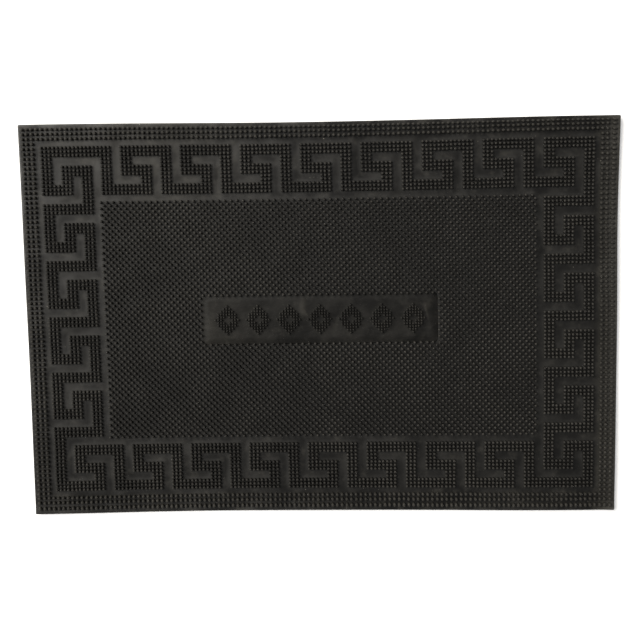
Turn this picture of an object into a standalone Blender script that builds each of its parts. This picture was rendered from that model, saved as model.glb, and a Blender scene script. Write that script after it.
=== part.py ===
"""Rubber pin door mat: a flat sheet that carries zones of short pins.

The zones are three rows of pins round the edge, a band of pins that follows a Greek key,
a staggered field of pins, and a smooth plaque with a row of pin ornaments.
Each zone is a flat-topped solid with the outline and height of its pins.
Metres, +Z up. The origin is at the centre of the underside, with +X along the length.
"""

import math

import bmesh
import bpy

# Overall sizes
MAT_LENGTH = 0.600
MAT_WIDTH = 0.400
CORNER_RADIUS = 0.0015
SHEET_THICKNESS = 0.0025
SHEET_EDGE_ROUND = 0.0008
CORNER_SEGMENTS = 4
EDGE_SEGMENTS = 2
PIN_HEIGHT = 0.0042

# Clearance between the sheet and a zone that stands on it, and between a zone and its trim
SEAT_GAP = 0.0003

# Pins round the edge, on a square grid
EDGE_ROWS = 3
EDGE_PIN_PITCH = 0.0049
EDGE_PIN_DIAMETER = 0.0028
EDGE_PIN_INSET = 0.0051

# Plain lines: from the edge pins' sides to the key's grid, and from that grid to the field pins
OUTER_LINE_WIDTH = 0.0054
INNER_LINE_WIDTH = 0.0061

# Key band: bars three pins wide, with plain channels two pins wide between them
KEY_PIN_PITCH = 0.0040
KEY_PIN_DIAMETER = 0.0028
KEY_BAR_PINS = 3
KEY_CHANNEL_PINS = 2
KEY_MOTIF = (
    "#.####",
    "#.#...",
    "#.###.",
    "#...#.",
    "#####.",
)

# Staggered field: pitch along a row
FIELD_PIN_PITCH = 0.0063
FIELD_PIN_DIAMETER = 0.0026

# Smooth plaque in the middle, and its ornaments of fine pins
PLAQUE_LENGTH = 0.234
PLAQUE_WIDTH = 0.0467
PLAQUE_HEIGHT = 0.0008
PLAQUE_CORNER_RADIUS = 0.0012
PLAQUE_EDGE_ROUND = 0.0004
PLAQUE_END_MARGIN = 0.0097
PLAQUE_SURROUND = 0.0011
ORNAMENT_COUNT = 7
ORNAMENT_GAP_PINS = 2
ORNAMENT_PIN_DROP = 0.0002
ORNAMENT_PIN_SPACE = 0.0009
ORNAMENT_HALF_WIDTHS = (4, 3, 3, 2, 1, 0)
ORNAMENT_HOLE_REACH = 1

RUBBER_SHEET = (0.032, 0.031, 0.030)
RUBBER_PINS = (0.020, 0.020, 0.020)
RUBBER_PLAQUE = (0.040, 0.039, 0.037)

# Sizes that follow from the values above
ZONE_BOTTOM = SHEET_THICKNESS + SEAT_GAP
PIN_TIPS = ZONE_BOTTOM + PIN_HEIGHT
EDGE_BAND_DEPTH = (EDGE_ROWS - 1) * EDGE_PIN_PITCH + EDGE_PIN_DIAMETER
EDGE_BAND_INSET = EDGE_PIN_INSET - EDGE_PIN_DIAMETER / 2
KEY_MARGIN = EDGE_BAND_INSET + EDGE_BAND_DEPTH + OUTER_LINE_WIDTH
MOTIF_STEPS = len(KEY_MOTIF[0])
BAND_STEPS = len(KEY_MOTIF)
STEP_PAIR_PINS = KEY_BAR_PINS + KEY_CHANNEL_PINS
MOTIF_PINS = MOTIF_STEPS // 2 * STEP_PAIR_PINS
BAND_PINS = BAND_STEPS // 2 * STEP_PAIR_PINS + KEY_BAR_PINS


def clear_scene():
    """Remove every object that the scene starts with."""
    for old in list(bpy.data.objects):
        bpy.data.objects.remove(old, do_unlink=True)


def rubber(name, colour):
    """A matt rubber material of its own for one node."""
    material = bpy.data.materials.new(name + "_rubber")
    material.use_nodes = True
    shader = material.node_tree.nodes["Principled BSDF"]
    shader.inputs["Base Color"].default_value = (*colour, 1.0)
    shader.inputs["Roughness"].default_value = 0.55
    shader.inputs["Metallic"].default_value = 0.0
    return material


def add_node(name, mesh_builder, colour, location, turned=False):
    """Make one named object from a bmesh, at its place, turned half round if asked."""
    mesh = bpy.data.meshes.new(name)
    bmesh.ops.recalc_face_normals(mesh_builder, faces=mesh_builder.faces)
    mesh_builder.to_mesh(mesh)
    mesh_builder.free()
    mesh.materials.append(rubber(name, colour))
    node = bpy.data.objects.new(name, mesh)
    node.location = location
    if turned:
        node.rotation_euler = (0.0, 0.0, math.pi)
    bpy.context.collection.objects.link(node)
    return node


def block(length, width, height):
    """A box that stands on z = 0, centred in x and y."""
    builder = bmesh.new()
    bmesh.ops.create_cube(builder, size=1.0)
    bmesh.ops.scale(builder, vec=(length, width, height), verts=builder.verts)
    bmesh.ops.translate(builder, vec=(0.0, 0.0, height / 2), verts=builder.verts)
    return builder


def top_outline(builder, height):
    """The edges that lie round the top face."""
    return [
        edge
        for edge in builder.edges
        if all(abs(vert.co.z - height) < 1e-6 for vert in edge.verts)
    ]


def round_edges(builder, edges, radius, segments):
    """Round some edges of a solid."""
    bmesh.ops.bevel(
        builder,
        geom=edges,
        offset=radius,
        offset_type="OFFSET",
        affect="EDGES",
        segments=segments,
        profile=0.5,
        material=-1,
    )


def rounded_plate(length, width, height, corner_radius, edge_round):
    """A plate with round corners and a rounded top edge."""
    builder = block(length, width, height)
    uprights = [
        edge
        for edge in builder.edges
        if abs(edge.verts[0].co.z - edge.verts[1].co.z) > height / 2
    ]
    round_edges(builder, uprights, corner_radius, CORNER_SEGMENTS)
    round_edges(builder, top_outline(builder, height), edge_round, EDGE_SEGMENTS)
    return builder


def step_start(step):
    """How many pins lie before a step of the key, where bars and channels take turns."""
    pairs, is_channel = divmod(step, 2)
    return pairs * STEP_PAIR_PINS + is_channel * KEY_BAR_PINS


def pins_across(steps):
    """The pins in a run of steps that starts and ends with a bar."""
    return step_start(steps - 1) + KEY_BAR_PINS


def motif_repeats(span):
    """How many whole motifs fit a span that ends with one more bar."""
    free_pins = span / KEY_PIN_PITCH - KEY_BAR_PINS
    return max(2, round(free_pins / MOTIF_PINS))


class KeyFrame:
    """The rectangle that the key band fills, cut into whole steps both ways."""

    def __init__(self, length, width):
        self.length = length
        self.width = width
        self.columns = motif_repeats(length) * MOTIF_STEPS + 1
        self.rows = motif_repeats(width) * MOTIF_STEPS + 1
        self.pitch_x = length / pins_across(self.columns)
        self.pitch_y = width / pins_across(self.rows)

    def corner(self, column, row):
        """The place of the corner before a column and a row, from the rear left corner."""
        x = step_start(column) * self.pitch_x - self.length / 2
        y = self.width / 2 - step_start(row) * self.pitch_y
        return (x, y, 0.0)


def rear_band_has_pins(column, row):
    """Whether a step of the rear band carries pins."""
    return KEY_MOTIF[row][column % MOTIF_STEPS] == "#"


def left_band_has_pins(column, row):
    """The left band is the motif on its side, running the other way."""
    return KEY_MOTIF[column][-row % MOTIF_STEPS] == "#"


def bar_strip(frame, columns, rows, has_pins):
    """One strip of the key: its bars of pins as one raised outline."""
    builder = bmesh.new()
    corners = {}

    def corner(column, row):
        if (column, row) not in corners:
            corners[column, row] = builder.verts.new(frame.corner(column, row))
        return corners[column, row]

    for row in rows:
        for column in columns:
            if has_pins(column, row):
                builder.faces.new(
                    (
                        corner(column, row),
                        corner(column, row + 1),
                        corner(column + 1, row + 1),
                        corner(column + 1, row),
                    )
                )
    trim_to_pins(builder, (KEY_PIN_PITCH - KEY_PIN_DIAMETER) / 2)
    raise_outline(builder, PIN_HEIGHT)
    return builder


def trim_to_pins(builder, half_space):
    """Pull an outline in by half the space between pins, so that it ends at their sides."""
    builder.normal_update()
    rim = bmesh.ops.inset_region(
        builder,
        faces=builder.faces[:],
        thickness=half_space,
        use_boundary=True,
        use_even_offset=True,
    )
    bmesh.ops.delete(builder, geom=rim["faces"], context="FACES")
    bmesh.ops.dissolve_limit(
        builder,
        angle_limit=math.radians(1.0),
        verts=builder.verts[:],
        edges=builder.edges[:],
    )


def raise_outline(builder, height):
    """Turn a flat outline at z = 0 into a solid of the given height."""
    raised = bmesh.ops.extrude_face_region(
        builder, geom=builder.faces[:], use_keep_orig=True
    )
    lifted = [item for item in raised["geom"] if isinstance(item, bmesh.types.BMVert)]
    bmesh.ops.translate(builder, vec=(0.0, 0.0, height), verts=lifted)


def ornament(pitch, height):
    """A stepped lozenge of fine pins with an open diamond at its heart."""
    builder = bmesh.new()
    corners = {}
    reach = len(ORNAMENT_HALF_WIDTHS) - 1

    def corner(column, row):
        if (column, row) not in corners:
            place = ((column - 0.5) * pitch, (row - 0.5) * pitch, 0.0)
            corners[column, row] = builder.verts.new(place)
        return corners[column, row]

    for row in range(-reach, reach + 1):
        half_width = ORNAMENT_HALF_WIDTHS[abs(row)]
        for column in range(-half_width, half_width + 1):
            if abs(column) + abs(row) > ORNAMENT_HOLE_REACH:
                builder.faces.new(
                    (
                        corner(column, row),
                        corner(column + 1, row),
                        corner(column + 1, row + 1),
                        corner(column, row + 1),
                    )
                )
    trim_to_pins(builder, ORNAMENT_PIN_SPACE / 2)
    raise_outline(builder, height)
    return builder


def add_sheet():
    """The flat sheet under everything, with its plain lip."""
    plate = rounded_plate(
        MAT_LENGTH, MAT_WIDTH, SHEET_THICKNESS, CORNER_RADIUS, SHEET_EDGE_ROUND
    )
    add_node("base_sheet", plate, RUBBER_SHEET, (0.0, 0.0, 0.0))


def add_edge_pins():
    """Four strips of pins just inside the lip; the long ones take the corners."""
    long_run = MAT_LENGTH - 2 * EDGE_BAND_INSET
    corner_run = EDGE_BAND_INSET + EDGE_BAND_DEPTH + EDGE_PIN_PITCH - EDGE_PIN_DIAMETER
    short_run = MAT_WIDTH - 2 * corner_run
    from_edge = EDGE_BAND_INSET + EDGE_BAND_DEPTH / 2
    side_x = MAT_LENGTH / 2 - from_edge
    side_y = MAT_WIDTH / 2 - from_edge
    for name, side in (("rear", 1), ("front", -1)):
        strip = block(long_run, EDGE_BAND_DEPTH, PIN_HEIGHT)
        add_node("edge_pins_" + name, strip, RUBBER_PINS, (0.0, side * side_y, ZONE_BOTTOM))
    for name, side in (("left", -1), ("right", 1)):
        strip = block(EDGE_BAND_DEPTH, short_run, PIN_HEIGHT)
        add_node("edge_pins_" + name, strip, RUBBER_PINS, (side * side_x, 0.0, ZONE_BOTTOM))


def add_key_pins(frame):
    """The key band in four strips; turned half round, the rear and left ones make the others."""
    rear_columns = range(BAND_STEPS, frame.columns)
    left_rows = range(frame.rows - BAND_STEPS)
    band = range(BAND_STEPS)
    place = (0.0, 0.0, ZONE_BOTTOM)
    for name, turned in (("rear", False), ("front", True)):
        strip = bar_strip(frame, rear_columns, band, rear_band_has_pins)
        add_node("key_pins_" + name, strip, RUBBER_PINS, place, turned)
    for name, turned in (("left", False), ("right", True)):
        strip = bar_strip(frame, band, left_rows, left_band_has_pins)
        add_node("key_pins_" + name, strip, RUBBER_PINS, place, turned)


def add_field_pins(frame):
    """The staggered field in four blocks round the plaque."""
    field_length = frame.length - 2 * (BAND_PINS * frame.pitch_x + INNER_LINE_WIDTH)
    field_width = frame.width - 2 * (BAND_PINS * frame.pitch_y + INNER_LINE_WIDTH)
    pin_space = FIELD_PIN_PITCH / 2 - FIELD_PIN_DIAMETER
    window_length = PLAQUE_LENGTH + 2 * PLAQUE_SURROUND
    window_width = PLAQUE_WIDTH + 2 * PLAQUE_SURROUND
    deep = (field_width - window_width) / 2
    wide = (field_length - window_length) / 2
    for name, side in (("rear", 1), ("front", -1)):
        slab = block(field_length, deep, PIN_HEIGHT)
        y = side * (window_width + deep) / 2
        add_node("field_pins_" + name, slab, RUBBER_PINS, (0.0, y, ZONE_BOTTOM))
    for name, side in (("left", -1), ("right", 1)):
        slab = block(wide, window_width - 2 * pin_space, PIN_HEIGHT)
        x = side * (window_length + wide) / 2
        add_node("field_pins_" + name, slab, RUBBER_PINS, (x, 0.0, ZONE_BOTTOM))


def add_plaque():
    """The smooth plaque and the ornaments that stand on it in a row."""
    plate = rounded_plate(
        PLAQUE_LENGTH, PLAQUE_WIDTH, PLAQUE_HEIGHT, PLAQUE_CORNER_RADIUS, PLAQUE_EDGE_ROUND
    )
    add_node("plaque", plate, RUBBER_PLAQUE, (0.0, 0.0, ZONE_BOTTOM))
    ornament_pins = 2 * max(ORNAMENT_HALF_WIDTHS) + 1
    row_pins = ORNAMENT_COUNT * (ornament_pins + ORNAMENT_GAP_PINS) - ORNAMENT_GAP_PINS
    pitch = (PLAQUE_LENGTH - 2 * PLAQUE_END_MARGIN) / row_pins
    spacing = (ornament_pins + ORNAMENT_GAP_PINS) * pitch
    bottom = ZONE_BOTTOM + PLAQUE_HEIGHT + SEAT_GAP
    height = PIN_TIPS - ORNAMENT_PIN_DROP - bottom
    for number in range(ORNAMENT_COUNT):
        x = (number - (ORNAMENT_COUNT - 1) / 2) * spacing
        name = "ornament_%d" % (number + 1)
        add_node(name, ornament(pitch, height), RUBBER_PINS, (x, 0.0, bottom))


def build_mat():
    """Build every zone of the mat."""
    clear_scene()
    frame = KeyFrame(MAT_LENGTH - 2 * KEY_MARGIN, MAT_WIDTH - 2 * KEY_MARGIN)
    add_sheet()
    add_edge_pins()
    add_key_pins(frame)
    add_field_pins(frame)
    add_plaque()


build_mat()
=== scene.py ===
"""The looks of a rubber pin door mat: its sheet, its pins, its plaque and their rubber."""

import math
import random

import bmesh
import bpy
import numpy as np
from mathutils import Matrix, Vector, noise
from mathutils.kdtree import KDTree


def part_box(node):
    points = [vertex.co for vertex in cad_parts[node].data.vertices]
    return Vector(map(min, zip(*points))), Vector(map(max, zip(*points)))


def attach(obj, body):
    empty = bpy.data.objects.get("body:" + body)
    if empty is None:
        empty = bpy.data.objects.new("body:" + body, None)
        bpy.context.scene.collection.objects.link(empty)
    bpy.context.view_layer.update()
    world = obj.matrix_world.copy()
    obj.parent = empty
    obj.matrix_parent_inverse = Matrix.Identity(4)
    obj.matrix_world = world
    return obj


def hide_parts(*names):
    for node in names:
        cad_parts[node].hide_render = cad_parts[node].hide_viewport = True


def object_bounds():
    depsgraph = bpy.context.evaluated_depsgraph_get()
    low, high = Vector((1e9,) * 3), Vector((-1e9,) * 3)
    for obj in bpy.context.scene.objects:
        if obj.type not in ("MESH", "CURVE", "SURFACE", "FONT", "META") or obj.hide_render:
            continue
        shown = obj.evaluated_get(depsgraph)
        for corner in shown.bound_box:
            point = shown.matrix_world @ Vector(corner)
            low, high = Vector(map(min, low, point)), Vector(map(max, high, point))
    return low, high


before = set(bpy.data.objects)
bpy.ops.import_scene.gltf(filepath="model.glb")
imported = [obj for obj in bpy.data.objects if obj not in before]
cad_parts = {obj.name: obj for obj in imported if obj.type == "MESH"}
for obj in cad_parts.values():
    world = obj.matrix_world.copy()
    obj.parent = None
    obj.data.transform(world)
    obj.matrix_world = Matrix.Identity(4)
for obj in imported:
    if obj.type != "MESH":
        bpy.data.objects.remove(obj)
cad_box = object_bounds()

SIDES = ("rear", "front", "left", "right")
SAME_PLACE = 1e-6

# The Greek key: bars three pins wide and channels two pins wide, in steps of the motif
KEY_MOTIF = (
    "#.####",
    "#.#...",
    "#.###.",
    "#...#.",
    "#####.",
)
KEY_REPEATS_ALONG = 9
KEY_REPEATS_ACROSS = 6
KEY_BAR_PINS = 3
KEY_CHANNEL_PINS = 2
MOTIF_STEPS = len(KEY_MOTIF[0])
BAND_STEPS = len(KEY_MOTIF)

# Pins: radius of the shank, and how far apart they stand
EDGE_PIN_RADIUS = 0.0014
EDGE_PIN_PITCH = 0.0049
EDGE_STOUTNESS = 1.10
KEY_PIN_RADIUS = 0.0014
FIELD_PIN_RADIUS = 0.0013
FIELD_PIN_PITCH = 0.0063
FINE_PIN_RADIUS = 0.00098
PIN_ROOT_DEPTH = 0.0004
PIN_SIDES = 8
PIN_LEAN = math.radians(2.0)
PIN_HEIGHT_SPREAD = 0.03

# Pins that have taken a set lean together, in patches of about this size
SWAY_PATCH = 0.022
PIN_SWAY = math.radians(4.0)

# One pin from its root to its tip: share of the shank's radius, share of the height
PIN_PROFILE = (
    (1.16, 0.00),
    (1.06, 0.15),
    (1.00, 0.80),
    (0.88, 0.94),
    (0.62, 1.00),
)

# The stepped lozenge of fine pins: half its width in pins, row by row from the middle
LOZENGE_HALF_WIDTHS = (4, 3, 3, 2, 1, 0)
LOZENGE_HOLE_REACH = 1

# The sheet and the plaque: how their edges are rounded, and how far apart the cuts are that
# let them bend
CORNER_RADIUS = 0.0015
CORNER_SEGMENTS = 5
SHEET_TOP_ROUND = 0.0009
SHEET_BOTTOM_ROUND = 0.0005
SHEET_GRID = 0.0024
PLAQUE_CORNER_RADIUS = 0.005
PLAQUE_SHOULDER = 0.0010
PLAQUE_GRID = 0.0013
TOP_SEGMENTS = 3
BOTTOM_SEGMENTS = 2

# The plaque's skirt runs out past its outline and falls to the sheet over this distance
PLAQUE_SKIRT = 0.0030
PLAQUE_SLOPE = 0.0080
PLAQUE_FALL = 0.00083

# The outer rows of pins stand too far apart to shade the sheet as the others do, so less shade is
# painted among them
EDGE_GAP_SHADE = 0.2

# Among its pins the rubber is dull, without bloom or dust, and painted dark for the shade
# that falls between them, and in the open it is satin: how far a pin's painted shade
# reaches, and how much of it a point needs to be fully shaded
PIN_SHADE_REACH = 0.0055
FINE_PIN_SHADE_REACH = 0.0040
FULL_GAP_SHADE = 1.6

# Marks that the rubber left on the plaque as it flowed: middle, half length, half width,
# turn in degrees from across the plaque, and height. The highest is the palest.
FLOW_MARKS = (
    ((-0.017, 0.013), 0.0085, 0.0030, 4.0, 0.00026),
    ((-0.013, 0.004), 0.0050, 0.0016, -30.0, 0.00016),
    ((0.1085, 0.006), 0.0095, 0.0011, -12.0, 0.00022),
    ((0.1100, 0.014), 0.0060, 0.0020, 35.0, 0.00014),
    ((0.0640, -0.019), 0.0045, 0.0011, 60.0, 0.00014),
    ((-0.1090, -0.004), 0.0120, 0.0040, 8.0, 0.00012),
)

# Where a pale patch is painted on the smooth rubber as sheen, behind the left end of the key
SHEEN_SPOT = (-0.170, 0.175, 0.0025)

# Where the pins are painted paler as sheen, in the left rear part of the field
PIN_SHEEN_SPOT = (-0.135, 0.070, 0.0050)

# How the mat has settled. Edges that bow: how far, and the length of the bow
REAR_BOW = 0.0009
REAR_BOW_LENGTH = 0.54
FRONT_BOW = 0.0013
FRONT_BOW_LENGTH = 0.62
FRONT_BOW_SHIFT = 0.06
FRONT_SET_BACK = 0.0014
LEFT_BOW = 0.0004
LEFT_BOW_HALF_LENGTH = 0.4
LEFT_SET_BACK = 0.0006
RIGHT_SET_BACK = 0.0010

# A dent in the right edge: how deep, how far behind the middle, and how long
DENT = 0.0015
DENT_PLACE = 0.09
DENT_LENGTH = 0.08

# Ripples that lift the edges: half their height, and their length
REAR_RIPPLE = 0.0007
REAR_RIPPLE_LENGTH = 0.21
FRONT_RIPPLE = 0.0006
FRONT_RIPPLE_LENGTH = 0.27
SIDE_RIPPLE = 0.0005
SIDE_RIPPLE_LENGTH = 0.19

# How far the rear right corner lifts, and the right and front edges curl
CORNER_LIFT = 0.0018
RIGHT_CURL = 0.0022
FRONT_CURL = 0.0010

# How far the pattern slips to the left, turns at the left end, and creeps to the rear
SLIP = 0.0009
REAR_SLIP = 0.0033
TURN = 0.0011
CREEP = 0.0028

# Light: one broad soft box behind the mat's left end, and the glow of the room
SOFTBOX_PLACE = (-4.10, 2.60, 4.10)
SOFTBOX_SIZE = 6.0
SOFTBOX_POWER = 880.0
SOFTBOX_COLOUR = (1.0, 0.965, 0.905)
ROOM_GLOW = 0.20
FLOOR_REACH = 10.0
WALL_HEIGHT = 2.6
FLOOR_GLOW = 0.36

# Camera: lens in millimetres, place in metres, turn in degrees
CAMERA_LENS = 65.0
CAMERA_SENSOR = 36.0
CAMERA_PLACE = (0.0193, 0.1515, 1.163)
CAMERA_TURN = (-7.42, 0.91, -0.78)


# ---------------------------------------------------------------- how the mat lies


def lie(points):
    """Where the points of a perfectly flat mat come to lie once it has settled."""
    x, y, z = points.T
    high = np.array(cad_box[1])
    along = x / high[0]
    across = y / high[1]
    to_rear = np.clip(across, 0, 1) ** 2
    to_front = np.clip(-across, 0, 1) ** 2
    to_right = np.clip(along, 0, 1) ** 3
    to_left = np.clip(-along, 0, 1) ** 3
    rear_bow = -REAR_BOW * np.cos(2 * math.pi * x / REAR_BOW_LENGTH) - REAR_BOW * (1 - along) / 2
    front_wave = np.cos(2 * math.pi * (x + FRONT_BOW_SHIFT) / FRONT_BOW_LENGTH)
    front_bow = FRONT_BOW * front_wave + FRONT_SET_BACK
    right_bow = -DENT * np.exp(-(((y - DENT_PLACE) / DENT_LENGTH) ** 2)) - RIGHT_SET_BACK
    left_bow = LEFT_BOW * np.cos(math.pi * y / LEFT_BOW_HALF_LENGTH) + LEFT_SET_BACK
    rear_wave = 1 + np.sin(2 * math.pi * x / REAR_RIPPLE_LENGTH + 0.6)
    rear_ripple = REAR_RIPPLE * rear_wave * to_rear**2
    front_wave = 1 + np.sin(2 * math.pi * x / FRONT_RIPPLE_LENGTH + 2.1)
    front_ripple = FRONT_RIPPLE * front_wave * to_front**2
    side_wave = 1 + np.sin(2 * math.pi * y / SIDE_RIPPLE_LENGTH)
    side_ripple = SIDE_RIPPLE * side_wave * (to_right + to_left) ** 2
    corner_lift = CORNER_LIFT * np.clip(along + across - 1.35, 0, 1) ** 1.5
    right_curl = RIGHT_CURL * np.clip((along - 0.94) / 0.06, 0, 1) ** 2
    front_curl = FRONT_CURL * np.clip((-across - 0.95) / 0.05, 0, 1) ** 2
    right_share = (along + 1) / 2
    rear_share = (across + 1) / 2
    slip = np.clip((along + 0.85) / 0.9, 0, 1) * (SLIP + REAR_SLIP * rear_share**2)
    turn = TURN * (1 - 2 * rear_share) * (1 - right_share)
    drift_x = (turn - slip) * np.clip((1 - np.abs(along)) / 0.03, 0.3, 1)
    creep = CREEP * (1 - (1 - right_share) * rear_share)
    drift_y = creep * np.clip((1 - np.abs(across)) / 0.05, 0.1, 1)
    return np.stack(
        [
            x + right_bow * to_right + left_bow * to_left + drift_x,
            y + rear_bow * to_rear + front_bow * to_front + drift_y,
            z + rear_ripple + front_ripple + side_ripple + corner_lift + right_curl + front_curl,
        ],
        axis=1,
    )


def lay_down(mesh):
    """Move a mesh that was made flat to where the mat lies."""
    flat = np.empty(len(mesh.vertices) * 3, np.float32)
    mesh.vertices.foreach_get("co", flat)
    laid = lie(flat.reshape(-1, 3).astype(float))
    mesh.vertices.foreach_set("co", laid.astype(np.float32).ravel())
    mesh.update()


# ---------------------------------------------------------------- materials


class Wire:
    """An output socket of a material. Sums on it add Math nodes."""

    def __init__(self, mix, socket):
        self.mix = mix
        self.socket = socket

    def math(self, operation, first, second):
        return self.mix.node("ShaderNodeMath", {"operation": operation}, {0: first, 1: second})

    def __add__(self, other):
        return self.math("ADD", self, other)

    def __sub__(self, other):
        return self.math("SUBTRACT", self, other)

    def __rsub__(self, other):
        return self.math("SUBTRACT", other, self)

    def __mul__(self, other):
        return self.math("MULTIPLY", self, other)

    __radd__ = __add__
    __rmul__ = __mul__


class RubberMix:
    """One material and its nodes."""

    def __init__(self, name):
        self.material = bpy.data.materials.new(name)
        self.material.use_nodes = True
        self.tree = self.material.node_tree
        self.shader = self.tree.nodes["Principled BSDF"]
        self.place = self.node("ShaderNodeTexCoord", output="Object")

    def node(self, kind, settings=None, inputs=None, output=0):
        """Any node: its settings first, then the values or wires of its inputs."""
        made = self.tree.nodes.new(kind)
        for key, value in (settings or {}).items():
            setattr(made, key, value)
        for key, value in (inputs or {}).items():
            self.feed(made.inputs[key], value)
        return Wire(self, made.outputs[output])

    def feed(self, socket, value):
        """Give a socket a value, or link it to a wire."""
        if isinstance(value, Wire):
            self.tree.links.new(value.socket, socket)
        else:
            socket.default_value = value

    def set(self, name, value):
        """Feed an input of the surface shader."""
        self.feed(self.shader.inputs[name], value)

    def attribute(self, name):
        """A number that the mesh keeps for each vertex."""
        return self.node("ShaderNodeAttribute", {"attribute_name": name}, output="Fac")

    def mottle(self, size, detail=3.0, roughness=0.55, stretch=None):
        """Smooth noise from 0 to 1 whose lumps are about that size, in metres."""
        place = self.place
        if stretch:
            place = self.node("ShaderNodeMapping", {}, {"Vector": place, "Scale": stretch})
        inputs = {"Vector": place, "Scale": 1 / size, "Detail": detail, "Roughness": roughness}
        return self.node("ShaderNodeTexNoise", {}, inputs)

    def near(self, spot, reach):
        """1 at a spot, easing to 0 at some distance from it."""
        inputs = {0: self.place, 1: spot}
        away = self.node("ShaderNodeVectorMath", {"operation": "DISTANCE"}, inputs, output=1)
        return 1.0 - self.ramp(away, 0.0, reach)

    def ramp(self, wire, low, high, to_low=0.0, to_high=1.0):
        """Stretch the range from low to high over another range, eased at both ends."""
        inputs = {
            "Value": wire,
            "From Min": low,
            "From Max": high,
            "To Min": to_low,
            "To Max": to_high,
        }
        settings = {"interpolation_type": "SMOOTHSTEP"}
        return self.node("ShaderNodeMapRange", settings, inputs)

    def blend(self, share, first, second):
        """A colour between two colours."""
        inputs = {0: share, 6: first, 7: second}
        return self.node("ShaderNodeMix", {"data_type": "RGBA"}, inputs, output=2)

    def bump(self, height, distance, strength=1.0, normal=None):
        """A normal from a height between 0 and 1 that stands for a distance in metres."""
        inputs = {"Height": height, "Distance": distance, "Strength": strength}
        if normal:
            inputs["Normal"] = normal
        return self.node("ShaderNodeBump", {}, inputs)


def colour(red, green, blue):
    return (red, green, blue, 1.0)


BLACK_RUBBER = colour(0.0056, 0.0053, 0.0048)
# Colour painted among the pins for the shade that falls between them
GAP_SHADE_COLOUR = colour(0.0112, 0.0107, 0.0095)
GREY_BLOOM = colour(0.028, 0.0265, 0.0235)
# Grey of dust, also used to paint the sheen patches
DUST_AND_SHEEN_GREY = colour(0.056, 0.0525, 0.0440)
PIN_BLACK = colour(0.0082, 0.0078, 0.0070)
PALE_GRIT = colour(0.30, 0.28, 0.24)
# Grey of worn pin tips, also used to paint highlights on the tips
TIP_WEAR_AND_HIGHLIGHT_GREY = colour(0.039, 0.0365, 0.0325)
PLAQUE_BLACK = colour(0.0052, 0.0050, 0.0045)
FLOOR_PAINT = colour(0.9, 0.9, 0.9)
WHITE = colour(1.0, 1.0, 1.0)


def smooth_rubber(name):
    """Moulded rubber with a satin skin, a faint grey bloom and patches of dust, painted dark among
    its pins for the shade between them, with a painted sheen behind the left end of the key.
    """
    mix = RubberMix(name)
    open_skin = 1.0 - mix.attribute("gap_shade")
    along = mix.node("ShaderNodeSeparateXYZ", {}, {0: mix.place})
    bloom = mix.ramp(mix.mottle(0.055, 4.0, 0.6), 0.40, 0.72)
    dust = mix.ramp(mix.mottle(0.016, 5.0, 0.65), 0.48, 0.76) * 0.45
    dust = dust + mix.ramp(along, 0.272, 0.292) * 0.50
    grit = mix.ramp(mix.mottle(0.0021, 2.0, 0.5), 0.75, 0.79) * mix.ramp(mix.mottle(0.03), 0.5, 0.6)
    scuff = mix.ramp(mix.mottle(0.020, 4.0, 0.62), 0.42, 0.70)
    # Besides dust, a pale patch painted as sheen behind the left end of the key
    dust = dust + mix.near(SHEEN_SPOT, 0.12) * (0.25 + scuff * 0.35)
    skin = mix.blend(bloom * 0.38 + scuff * 0.32, BLACK_RUBBER, GREY_BLOOM)
    skin = mix.blend(dust, skin, DUST_AND_SHEEN_GREY)
    skin = mix.blend(grit, skin, PALE_GRIT)
    # Among the pins the sheet is painted dark as shade, a little lighter towards the left end
    shade_among_pins = mix.blend(mix.ramp(along, -0.16, 0.10) * 0.6, GAP_SHADE_COLOUR, BLACK_RUBBER)
    mix.set("Base Color", mix.blend(open_skin, shade_among_pins, skin))
    mix.set("Roughness", 0.62 - open_skin * 0.33 + bloom * 0.05 + scuff * 0.10 + dust * 0.12)
    mix.set("Specular IOR Level", 0.42)
    grain = mix.mottle(0.0006, 2.0, 0.6)
    swell = mix.mottle(0.030, 1.5, 0.45)
    mix.set("Normal", mix.bump(grain, 0.00006, 0.6, mix.bump(swell, 0.0028, 0.6)))
    return mix.material


def underside_rubber(name):
    """The flat back: matt, a little dusty, with the faint lay of the press plate."""
    mix = RubberMix(name)
    dust = mix.ramp(mix.mottle(0.035, 5.0, 0.65), 0.42, 0.75) * 0.5
    lay = mix.mottle(0.004, 3.0, 0.6, stretch=(0.08, 1.0, 1.0))
    mix.set("Base Color", mix.blend(dust, BLACK_RUBBER, DUST_AND_SHEEN_GREY))
    mix.set("Roughness", 0.58 + dust * 0.2)
    grain = mix.mottle(0.0006, 2.0, 0.6)
    mix.set("Normal", mix.bump(grain, 0.00006, 0.5, mix.bump(lay, 0.0001, 0.5)))
    return mix.material


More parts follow.
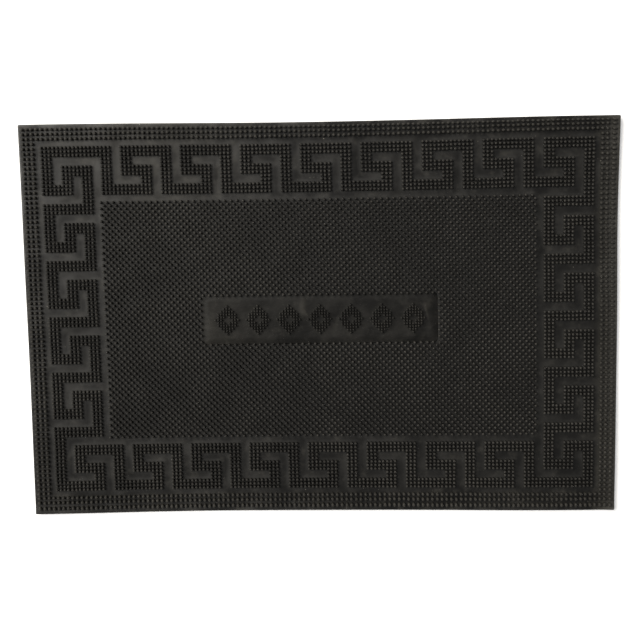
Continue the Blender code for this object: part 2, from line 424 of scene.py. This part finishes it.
def pin_rubber(name, dusting, tip_lightening):
    """Rubber of the pins: black, dusty at the root, rubbed grey at the tip, with painted highlights
    on the tips towards the right end and a painted sheen at the left rear of the field.
    """
    mix = RubberMix(name)
    rise = mix.attribute("rise")
    wear = mix.attribute("wear")
    along = mix.node("ShaderNodeSeparateXYZ", {}, {0: mix.place})
    patch = mix.ramp(mix.mottle(0.060, 5.0, 0.62), 0.36, 0.66)
    # Tips are painted paler towards the right end as a highlight, on top of their wear
    rightward_tip_highlight = mix.ramp(along, -0.30, 0.30, 0.25, 1.0) * (0.5 + patch * 0.5)
    fleck = mix.ramp(mix.mottle(0.0016, 2.0, 0.5), 0.35, 0.75)
    tip_wear_and_highlight = mix.ramp(rise, 0.86, 1.0) * rightward_tip_highlight * (0.25 + wear * 0.45 + fleck * 0.30) * tip_lightening
    root = 1.0 - mix.ramp(rise, 0.0, 0.35)
    dust = mix.ramp(mix.mottle(0.070, 4.0, 0.6), 0.45, 0.72)
    skin = mix.blend(patch * mix.ramp(along, -0.16, 0.10, 0.80, 0.28), PIN_BLACK, GREY_BLOOM)
    grime_and_sheen = dust * 0.16 + root * mix.ramp(along, -0.20, 0.20, 0.24, 0.05) + dusting
    # A pale patch painted on the pins as sheen, in the left rear part of the field
    grime_and_sheen = grime_and_sheen + mix.near(PIN_SHEEN_SPOT, 0.12) * 0.20
    skin = mix.blend(grime_and_sheen, skin, DUST_AND_SHEEN_GREY)
    mix.set("Base Color", mix.blend(tip_wear_and_highlight, skin, TIP_WEAR_AND_HIGHLIGHT_GREY))
    mix.set("Roughness", 0.62 + fleck * 0.10 - tip_wear_and_highlight * 0.06)
    mix.set("Specular IOR Level", 0.16)
    grain = mix.mottle(0.0005, 2.0, 0.6)
    mix.set("Normal", mix.bump(grain, 0.00005, 0.5))
    return mix.material


def plaque_rubber(name):
    """The plaque's smoother skin, with the marks that the rubber left as it flowed, the painted
    shade colour among its fine pins, and a painted sheen at its left end.
    """
    mix = RubberMix(name)
    open_skin = 1.0 - mix.attribute("gap_shade")
    marks = mix.attribute("flow")
    bloom = mix.ramp(mix.mottle(0.026, 4.0, 0.62), 0.40, 0.68)
    flow = mix.mottle(0.012, 3.0, 0.55, stretch=(0.5, 1.0, 1.0))
    dust = mix.ramp(mix.mottle(0.010, 5.0, 0.65), 0.50, 0.76) * 0.28
    skin = mix.blend(bloom * 0.3, PLAQUE_BLACK, GREY_BLOOM)
    along = mix.node("ShaderNodeSeparateXYZ", {}, {0: mix.place})
    # The left end of the plaque is painted paler as sheen
    left_end_sheen = mix.ramp(along, -0.12, -0.03, 0.12, 0.0)
    skin = mix.blend(dust * 0.7 + marks * 0.30 + left_end_sheen, skin, DUST_AND_SHEEN_GREY)
    # Among the fine pins the plaque takes the same painted shade colour
    mix.set("Base Color", mix.blend(open_skin, GAP_SHADE_COLOUR, skin))
    mix.set("Roughness", 0.58 - open_skin * 0.12 + bloom * 0.10 + dust * 0.2)
    mix.set("Specular IOR Level", 0.20)
    grain = mix.mottle(0.0007, 2.0, 0.6)
    mix.set("Normal", mix.bump(grain, 0.00004, 0.5, mix.bump(flow, 0.0009, 0.6)))
    return mix.material


# ---------------------------------------------------------------- pieces


def add_piece(name, mesh, material, slot, *nodes):
    """Put a finished mesh in the scene as a piece that stands for some nodes of the frame."""
    lay_down(mesh)
    mesh.materials.append(material)
    mesh.shade_smooth()
    piece = bpy.data.objects.new(name, mesh)
    bpy.context.scene.collection.objects.link(piece)
    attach(piece, "root")
    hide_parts(*nodes)
    return piece


def round_edges(plate, edges, radius, segments):
    """Round some edges of a solid."""
    bmesh.ops.bevel(
        plate,
        geom=edges,
        offset=radius,
        offset_type="OFFSET",
        affect="EDGES",
        segments=segments,
        profile=0.5,
        material=-1,
    )


def edges_at(plate, height):
    """The outline edges that lie at one height."""
    return [e for e in plate.edges if all(abs(v.co.z - height) < SAME_PLACE for v in e.verts)]


def rounded_plate(low, high, corner_radius, top_round, bottom_round):
    """A plate between two corners, with round corners and edges."""
    plate = bmesh.new()
    bmesh.ops.create_cube(plate, size=1.0)
    bmesh.ops.scale(plate, vec=high - low, verts=plate.verts)
    bmesh.ops.translate(plate, vec=(low + high) / 2, verts=plate.verts)
    uprights = [e for e in plate.edges if abs(e.verts[0].co.z - e.verts[1].co.z) > SAME_PLACE]
    round_edges(plate, uprights, corner_radius, CORNER_SEGMENTS)
    round_edges(plate, edges_at(plate, high.z), top_round, TOP_SEGMENTS)
    if bottom_round:
        round_edges(plate, edges_at(plate, low.z), bottom_round, BOTTOM_SEGMENTS)
    return plate


def cut_into_grid(plate, low, high, spacing):
    """Cut a plate across and along, so that it can bend."""
    for axis in (0, 1):
        cuts = round((high[axis] - low[axis]) / spacing)
        normal = Vector((axis == 0, axis == 1, 0))
        for cut in range(1, cuts):
            point = low.lerp(high, cut / cuts)
            geometry = plate.verts[:] + plate.edges[:] + plate.faces[:]
            bmesh.ops.bisect_plane(plate, geom=geometry, plane_co=point, plane_no=normal)


def finished(builder, name):
    """The mesh of a bmesh, with its faces pointing out."""
    bmesh.ops.recalc_face_normals(builder, faces=builder.faces)
    mesh = bpy.data.meshes.new(name)
    builder.to_mesh(mesh)
    builder.free()
    return mesh


def pin_shape(radius, height):
    """One pin that stands on z = 0, with its root a little below."""
    pin = bmesh.new()
    first_width = PIN_PROFILE[0][0] * radius
    bmesh.ops.create_circle(pin, cap_ends=True, segments=PIN_SIDES, radius=first_width)
    bmesh.ops.translate(pin, vec=(0, 0, -PIN_ROOT_DEPTH), verts=pin.verts)
    width_before, height_before = first_width, -PIN_ROOT_DEPTH
    root = pin.faces[:]
    top = root
    for width_share, height_share in PIN_PROFILE[1:]:
        grown = bmesh.ops.extrude_face_region(pin, geom=top, use_keep_orig=True)
        if top != root:
            bmesh.ops.delete(pin, geom=top, context="FACES_ONLY")
        top = [item for item in grown["geom"] if isinstance(item, bmesh.types.BMFace)]
        ring = top[0].verts[:]
        narrowing = width_share * radius / width_before
        bmesh.ops.scale(pin, vec=(narrowing, narrowing, 1), verts=ring)
        bmesh.ops.translate(pin, vec=(0, 0, height_share * height - height_before), verts=ring)
        width_before, height_before = width_share * radius, height_share * height
    return finished(pin, "pin")


def standing(x, y, floor_height, chance):
    """Where one pin stands and how it leans: with its neighbours, and a little by itself."""
    sway = noise.noise_vector(Vector((x, y, 0)) / SWAY_PATCH) * PIN_SWAY
    lean_x = Matrix.Rotation(sway.x + chance.gauss(0, PIN_LEAN), 4, "X")
    lean_y = Matrix.Rotation(sway.y + chance.gauss(0, PIN_LEAN), 4, "Y")
    stretch = Matrix.Scale(1 - chance.uniform(0, PIN_HEIGHT_SPREAD), 4, (0, 0, 1))
    turn = Matrix.Rotation(chance.uniform(0, math.tau), 4, "Z")
    return Matrix.Translation((x, y, floor_height)) @ lean_x @ lean_y @ stretch @ turn


def give_attribute(mesh, name, values):
    """A number for each vertex, for the material to read."""
    attribute = mesh.attributes.new(name=name, type="FLOAT", domain="POINT")
    attribute.data.foreach_set("value", np.asarray(values, np.float32))


def planted(name, pin, spots, floor_height, seed):
    """Copies of one pin on many spots, each a little different, as one mesh."""
    chance = random.Random(seed)
    zone = bmesh.new()
    for x, y in spots:
        copy = pin.copy()
        copy.transform(standing(x, y, floor_height, chance))
        zone.from_mesh(copy)
        bpy.data.meshes.remove(copy)
    mesh = bpy.data.meshes.new(name)
    zone.to_mesh(mesh)
    zone.free()
    heights = np.array([max(corner.co.z, 0) for corner in pin.vertices])
    wear = [chance.random() for spot in spots]
    give_attribute(mesh, "rise", np.tile(heights / heights.max(), len(spots)))
    give_attribute(mesh, "wear", np.repeat(wear, len(heights)))
    return mesh


def evenly(low, high, count):
    """Places from low to high, both included."""
    return [low + (high - low) * step / (count - 1) for step in range(count)]


def edge_spots(side):
    """A square grid of pins that fills one strip round the edge."""
    low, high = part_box("edge_pins_" + side)
    low = low + Vector((EDGE_PIN_RADIUS, EDGE_PIN_RADIUS, 0))
    high = high - Vector((EDGE_PIN_RADIUS, EDGE_PIN_RADIUS, 0))
    columns = round((high.x - low.x) / EDGE_PIN_PITCH) + 1
    rows = round((high.y - low.y) / EDGE_PIN_PITCH) + 1
    return [(x, y) for y in evenly(low.y, high.y, rows) for x in evenly(low.x, high.x, columns)]


def step_of_pin(number):
    """Which step of the key a row or column of pins belongs to."""
    pairs, rest = divmod(number, KEY_BAR_PINS + KEY_CHANNEL_PINS)
    return 2 * pairs + (rest >= KEY_BAR_PINS)


def key_side(column, row, columns, rows):
    """The strip of the key that a step lies in, and whether it carries pins."""
    if column < BAND_STEPS and row < rows - BAND_STEPS:
        return "left", KEY_MOTIF[column][-row % MOTIF_STEPS] == "#"
    if row < BAND_STEPS:
        return "rear", KEY_MOTIF[row][column % MOTIF_STEPS] == "#"
    return None, False


def key_spots():
    """The pins of the Greek key, strip by strip. The mat looks the same turned half round."""
    spots = {side: [] for side in SIDES}
    opposite = {"left": "right", "rear": "front"}
    pins_per_motif = MOTIF_STEPS // 2 * (KEY_BAR_PINS + KEY_CHANNEL_PINS)
    pins_along = KEY_REPEATS_ALONG * pins_per_motif + KEY_BAR_PINS
    pins_across = KEY_REPEATS_ACROSS * pins_per_motif + KEY_BAR_PINS
    columns = step_of_pin(pins_along - 1) + 1
    rows = step_of_pin(pins_across - 1) + 1
    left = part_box("key_pins_left")[0].x + KEY_PIN_RADIUS
    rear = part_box("key_pins_rear")[1].y - KEY_PIN_RADIUS
    for i, x in enumerate(evenly(left, -left, pins_along)):
        for j, y in enumerate(evenly(rear, -rear, pins_across)):
            side, has_pin = key_side(step_of_pin(i), step_of_pin(j), columns, rows)
            if has_pin:
                spots[side].append((x, y))
                spots[opposite[side]].append((-x, -y))
    return spots


def field_spots():
    """The staggered pins of the field, in the four blocks round the plaque."""
    spots = {side: [] for side in SIDES}
    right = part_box("field_pins_rear")[1].x - FIELD_PIN_RADIUS
    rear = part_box("field_pins_rear")[1].y - FIELD_PIN_RADIUS
    window_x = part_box("field_pins_right")[0].x
    window_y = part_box("field_pins_rear")[0].y
    columns = 2 * round(2 * right / FIELD_PIN_PITCH) + 2
    rows = 2 * round(rear / (FIELD_PIN_PITCH / 2)) + 1
    for j, y in enumerate(evenly(rear, -rear, rows)):
        for i, x in enumerate(evenly(-right, right, columns)):
            if (i + j) % 2:
                continue
            if y > window_y:
                spots["rear"].append((x, y))
            elif y < -window_y:
                spots["front"].append((x, y))
            elif abs(x) > window_x + FIELD_PIN_RADIUS:
                spots["right" if x > 0 else "left"].append((x, y))
    return spots


def lozenge_spots(node):
    """The fine pins of one ornament."""
    low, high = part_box(node)
    centre = (low + high) / 2
    widest = max(LOZENGE_HALF_WIDTHS)
    reach = len(LOZENGE_HALF_WIDTHS) - 1
    pitch = (high.x - low.x - 2 * FINE_PIN_RADIUS) / (2 * widest)
    spots = []
    for row in range(-reach, reach + 1):
        half_width = LOZENGE_HALF_WIDTHS[abs(row)]
        for column in range(-half_width, half_width + 1):
            if abs(column) + abs(row) > LOZENGE_HOLE_REACH:
                spots.append((centre.x + column * pitch, centre.y + row * pitch))
    return spots


def pin_spots():
    """Where every pin stands, node by node."""
    spots = {"edge_pins_" + side: edge_spots(side) for side in SIDES}
    spots.update({"key_pins_" + side: found for side, found in key_spots().items()})
    spots.update({"field_pins_" + side: found for side, found in field_spots().items()})
    ornaments = sorted(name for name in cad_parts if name.startswith("ornament_"))
    spots.update({name: lozenge_spots(name) for name in ornaments})
    return spots


def mark_gap_shade(mesh, spots, reach, top):
    """How much painted shade each vertex of a mesh's top gets for lying among pins: 0 in the open,
    up to 1.
    """
    places = [(x, y, node) for node, found in spots.items() for x, y in found]
    tree = KDTree(len(places))
    for number, (x, y, node) in enumerate(places):
        tree.insert((x, y, top), number)
    tree.balance()
    weights = [EDGE_GAP_SHADE if place[2].startswith("edge_") else 1.0 for place in places]
    gap_shade = []
    for corner in mesh.vertices:
        near = tree.find_range(corner.co, reach)
        cover = sum(weights[number] * (1 - away / reach) for _, number, away in near)
        gap_shade.append(min(1.0, cover / FULL_GAP_SHADE))
    give_attribute(mesh, "gap_shade", gap_shade)


def add_sheet(spots):
    """The sheet with its plain lip, cut fine enough to lie in waves."""
    low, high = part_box("base_sheet")
    sheet = rounded_plate(low, high, CORNER_RADIUS, SHEET_TOP_ROUND, SHEET_BOTTOM_ROUND)
    cut_into_grid(sheet, low, high, SHEET_GRID)
    mesh = finished(sheet, "mat_sheet")
    on_sheet = {node: found for node, found in spots.items() if "_pins_" in node}
    mark_gap_shade(mesh, on_sheet, PIN_SHADE_REACH, high.z)
    for face in mesh.polygons:
        face.material_index = face.normal.z < -0.5
    rubber = smooth_rubber("satin_rubber")
    piece = add_piece("mat_sheet", mesh, rubber, "smooth_rubber", "base_sheet")
    mesh.materials.append(underside_rubber("underside_rubber"))
    return piece


def flow_height(corner, centre):
    """How high the flow marks stand at a corner of the plaque's top."""
    height = 0.0
    for (x, y), half_length, half_width, turn, peak in FLOW_MARKS:
        away = Vector((corner.x - centre.x - x, corner.y - centre.y - y))
        away.rotate(Matrix.Rotation(math.radians(turn), 2))
        height += peak * math.exp(-((away.x / half_width) ** 2) - (away.y / half_length) ** 2)
    return height


def shape_top(plate, low, high):
    """Let the plaque's top swell along its flow marks and fall away gently towards its rim."""
    for corner in plate.verts:
        x, y, z = corner.co
        inset = min(x - low.x, high.x - x, y - low.y, high.y - y)
        share = min(max(inset / PLAQUE_SLOPE, 0.0), 1.0)
        fall = PLAQUE_FALL * (1 - share**2 * (3 - 2 * share))
        if high.z - z < SAME_PLACE:
            corner.co.z += flow_height(corner.co, (low + high) / 2)
        corner.co.z -= fall


def add_plaque(spots):
    """The raised plaque, which runs into the sheet round its foot."""
    low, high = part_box("plaque")
    low -= Vector((PLAQUE_SKIRT, PLAQUE_SKIRT, 0))
    high += Vector((PLAQUE_SKIRT, PLAQUE_SKIRT, 0))
    low.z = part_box("base_sheet")[1].z - PIN_ROOT_DEPTH
    plate = rounded_plate(low, high, PLAQUE_CORNER_RADIUS, PLAQUE_SHOULDER, 0)
    cut_into_grid(plate, low, high, PLAQUE_GRID)
    shape_top(plate, low, high)
    mesh = finished(plate, "smooth_plaque")
    flow = [flow_height(corner.co, (low + high) / 2) for corner in mesh.vertices]
    give_attribute(mesh, "flow", np.array(flow) / max(flow))
    on_plaque = {node: found for node, found in spots.items() if "ornament_" in node}
    mark_gap_shade(mesh, on_plaque, FINE_PIN_SHADE_REACH, high.z)
    rubber = plaque_rubber("plaque_rubber")
    return add_piece("smooth_plaque", mesh, rubber, "plaque_rubber", "plaque")


def add_pins(spots):
    """Every zone of pins, each as one piece for its node."""
    sheet_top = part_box("base_sheet")[1].z
    plaque_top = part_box("plaque")[1].z
    # Start of the nodes' names, slot, radius, floor, how dusty the pins are, and how far their tips
    # are lightened by wear and painted highlight
    kinds = (
        ("edge_pins_", "edge_pin_rubber", EDGE_PIN_RADIUS * EDGE_STOUTNESS, sheet_top, 0.22, 0.9),
        ("key_pins_", "key_pin_rubber", KEY_PIN_RADIUS, sheet_top, 0.02, 1.5),
        ("field_pins_", "field_pin_rubber", FIELD_PIN_RADIUS, sheet_top, 0.0, 1.6),
        ("ornament_", "ornament_pin_rubber", FINE_PIN_RADIUS, plaque_top, 0.02, 0.3),
    )
    made = []
    for start, slot, radius, floor_height, dusting, tip_lightening in kinds:
        nodes = [node for node in spots if node.startswith(start)]
        pin = pin_shape(radius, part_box(nodes[0])[1].z - floor_height)
        rubber = pin_rubber(slot, dusting, tip_lightening)
        for node in nodes:
            seed = len(made)
            mesh = planted(node, pin, spots[node], floor_height, seed)
            made.append(add_piece("rubber_" + node, mesh, rubber, slot, node))
    return made


# ---------------------------------------------------------------- stage, light and camera


def add_floor():
    """A plain white floor that sweeps up into a low wall, softly lit so that shadows stay faint."""
    mix = RubberMix("white_floor")
    mix.set("Base Color", FLOOR_PAINT)
    mix.set("Roughness", 0.9)
    mix.set("Emission Color", WHITE)
    mix.set("Emission Strength", FLOOR_GLOW)
    sweep = bmesh.new()
    bmesh.ops.create_circle(sweep, cap_ends=True, radius=FLOOR_REACH, segments=64)
    rim = sweep.edges[:]
    wall = bmesh.ops.extrude_edge_only(sweep, edges=rim)["geom"]
    top = [item for item in wall if isinstance(item, bmesh.types.BMVert)]
    bmesh.ops.translate(sweep, vec=(0, 0, WALL_HEIGHT), verts=top)
    round_edges(sweep, rim, WALL_HEIGHT * 0.6, 8)
    mesh = bpy.data.meshes.new("floor")
    sweep.to_mesh(mesh)
    sweep.free()
    mesh.shade_smooth()
    mesh.materials.append(mix.material)
    floor = bpy.data.objects.new("floor", mesh)
    floor.location.z = -0.0002
    bpy.context.scene.collection.objects.link(floor)


def add_softbox():
    """A soft square light that faces the middle of the mat."""
    light = bpy.data.lights.new("softbox", "AREA")
    light.shape = "SQUARE"
    light.size = SOFTBOX_SIZE
    light.energy = SOFTBOX_POWER
    light.color = SOFTBOX_COLOUR
    lamp = bpy.data.objects.new("softbox", light)
    lamp.location = SOFTBOX_PLACE
    lamp.rotation_euler = Vector(SOFTBOX_PLACE).to_track_quat("Z", "Y").to_euler()
    bpy.context.scene.collection.objects.link(lamp)


def add_world(strength):
    """Even light from all round."""
    world = bpy.data.worlds.new("studio")
    world.use_nodes = True
    background = world.node_tree.nodes["Background"]
    background.inputs["Color"].default_value = WHITE
    background.inputs["Strength"].default_value = strength
    bpy.context.scene.world = world


def add_camera():
    """A camera high over the mat, a little behind its middle and turned by under a degree."""
    data = bpy.data.cameras.new("camera")
    data.lens = CAMERA_LENS
    data.sensor_width = CAMERA_SENSOR
    camera = bpy.data.objects.new("camera", data)
    camera.location = CAMERA_PLACE
    camera.rotation_euler = tuple(math.radians(angle) for angle in CAMERA_TURN)
    bpy.context.scene.collection.objects.link(camera)
    bpy.context.scene.camera = camera


def set_view():
    """Show light as it is, so that the floor comes out white."""
    view = bpy.context.scene.view_settings
    view.view_transform = "Standard"
    view.look = "None"
    view.exposure = 0.0


add_camera()
set_view()
spots = pin_spots()
sheet = add_sheet(spots)
plaque = add_plaque(spots)
pins = add_pins(spots)
add_floor()
add_world(ROOM_GLOW)
add_softbox()
